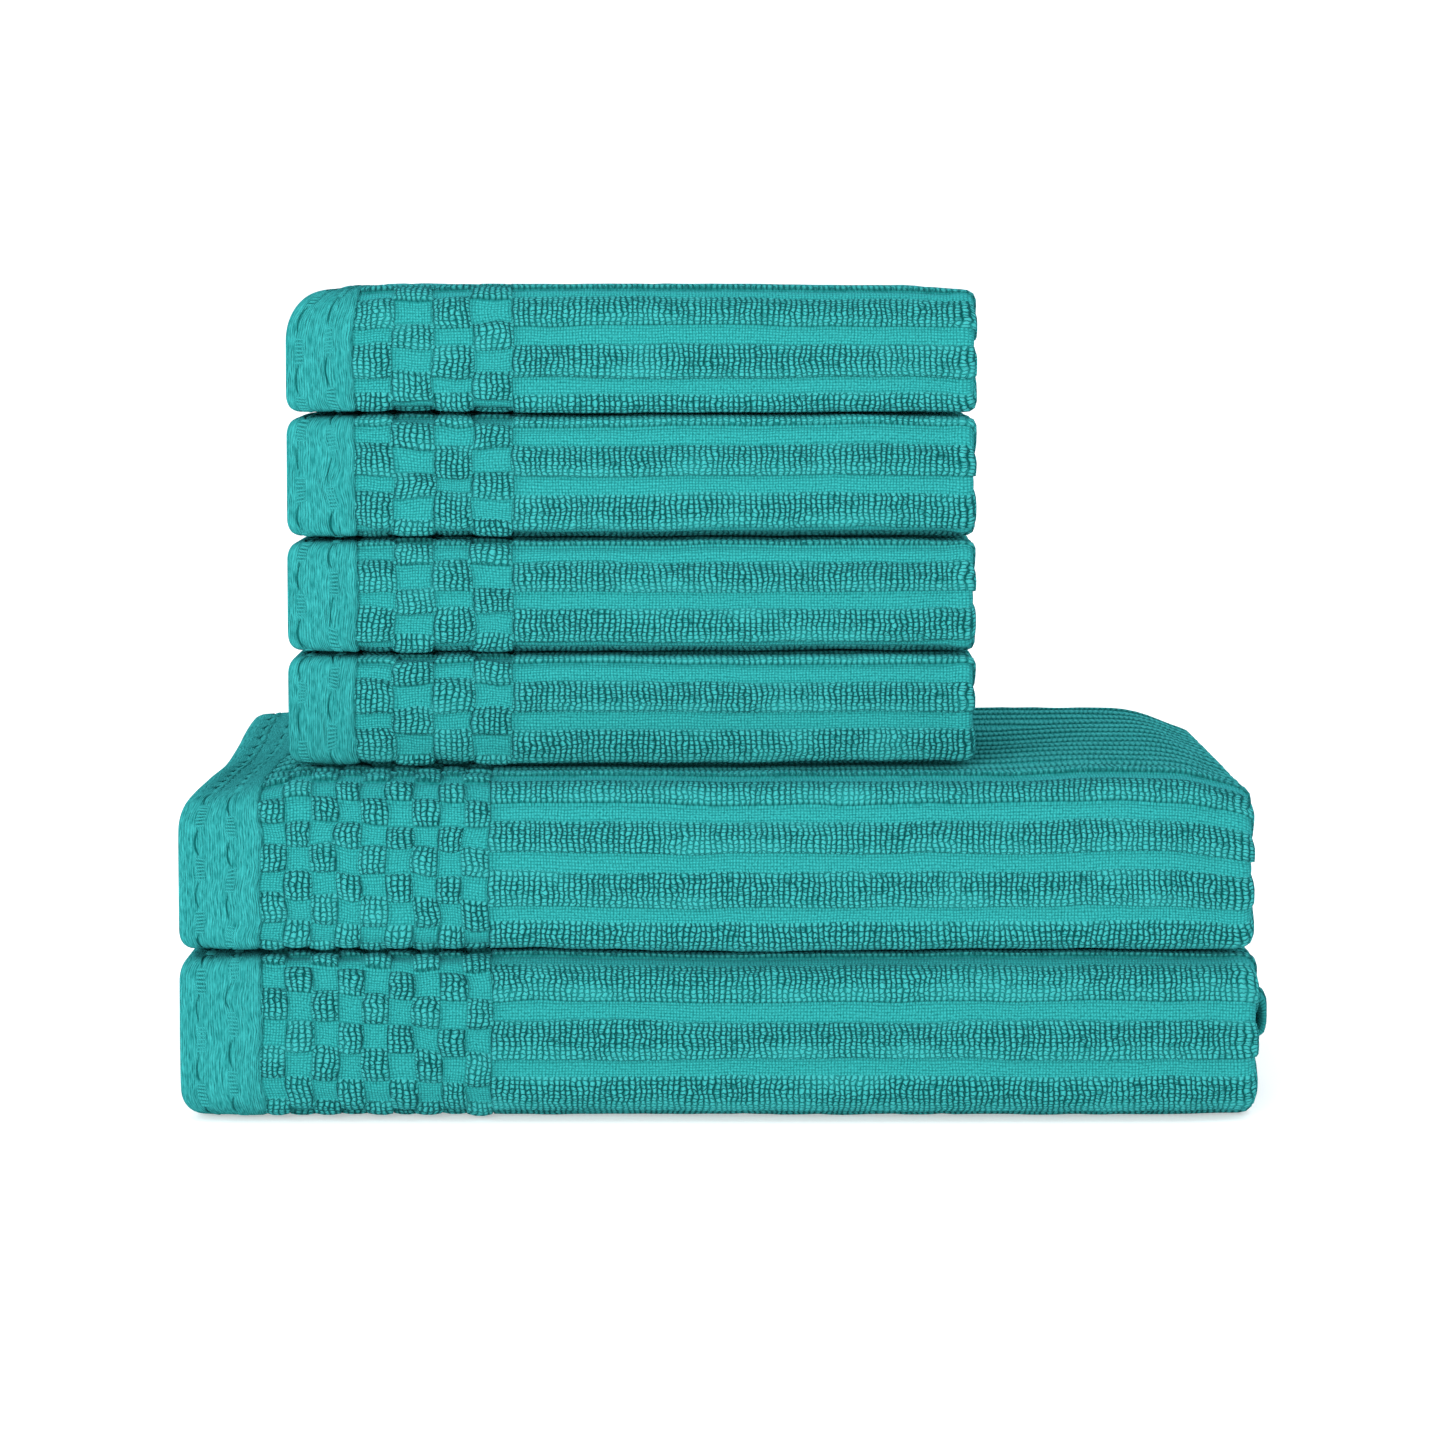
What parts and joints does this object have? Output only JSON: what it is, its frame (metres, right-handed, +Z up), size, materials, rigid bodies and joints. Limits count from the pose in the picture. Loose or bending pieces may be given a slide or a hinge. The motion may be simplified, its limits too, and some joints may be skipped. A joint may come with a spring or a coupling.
{
  "type": "folded towel stack",
  "caption": "Stack of folded terry towels: ribbed bath towels under smaller hand towels, each with a checked border and a stitched satin hem at its left end.",
  "frame": {"origin": "on the surface that the stack stands on, under the middle of the bath towels", "axes": "+X along the ribs from the hemmed left end to the folded right end, +Y towards the back, +Z up"},
  "size_m": [0.356, 0.256, 0.2766],
  "materials": {
    "terry_cloth": "cotton terry, matte with a soft nap",
    "satin_hem": "mercerised satin weave with a soft sheen",
    "hem_thread": "twisted cotton thread"
  },
  "bodies": {
    "bath_towel_lower": {"bath_towel_lower_cloth": "terry_cloth", "bath_towel_lower_outer_hem": "satin_hem", "bath_towel_lower_inner_hem": "satin_hem", "bath_towel_lower_hem_stitching": "hem_thread"},
    "bath_towel_upper": {"bath_towel_upper_cloth": "terry_cloth", "bath_towel_upper_outer_hem": "satin_hem", "bath_towel_upper_inner_hem": "satin_hem", "bath_towel_upper_hem_stitching": "hem_thread"},
    "hand_towel_1": {"hand_towel_1_cloth": "terry_cloth", "hand_towel_1_outer_hem": "satin_hem", "hand_towel_1_inner_hem": "satin_hem", "hand_towel_1_hem_stitching": "hem_thread"},
    "hand_towel_2": {"hand_towel_2_cloth": "terry_cloth", "hand_towel_2_outer_hem": "satin_hem", "hand_towel_2_inner_hem": "satin_hem", "hand_towel_2_hem_stitching": "hem_thread"},
    "hand_towel_3": {"hand_towel_3_cloth": "terry_cloth", "hand_towel_3_outer_hem": "satin_hem", "hand_towel_3_inner_hem": "satin_hem", "hand_towel_3_hem_stitching": "hem_thread"},
    "hand_towel_4": {"hand_towel_4_cloth": "terry_cloth", "hand_towel_4_outer_hem": "satin_hem", "hand_towel_4_inner_hem": "satin_hem", "hand_towel_4_hem_stitching": "hem_thread"}
  },
  "joints": [
    {"name": "bath_towel_upper_lift", "type": "slide", "parent": "bath_towel_lower", "child": "bath_towel_upper", "axis": [0, 0, 1], "range_m": [0, 0.12]},
    {"name": "hand_towel_1_lift", "type": "slide", "parent": "bath_towel_upper", "child": "hand_towel_1", "axis": [0, 0, 1], "range_m": [0, 0.1]},
    {"name": "hand_towel_2_lift", "type": "slide", "parent": "hand_towel_1", "child": "hand_towel_2", "axis": [0, 0, 1], "range_m": [0, 0.1]},
    {"name": "hand_towel_3_lift", "type": "slide", "parent": "hand_towel_2", "child": "hand_towel_3", "axis": [0, 0, 1], "range_m": [0, 0.1]},
    {"name": "hand_towel_4_lift", "type": "slide", "parent": "hand_towel_3", "child": "hand_towel_4", "axis": [0, 0, 1], "range_m": [0, 0.1]}
  ]
}
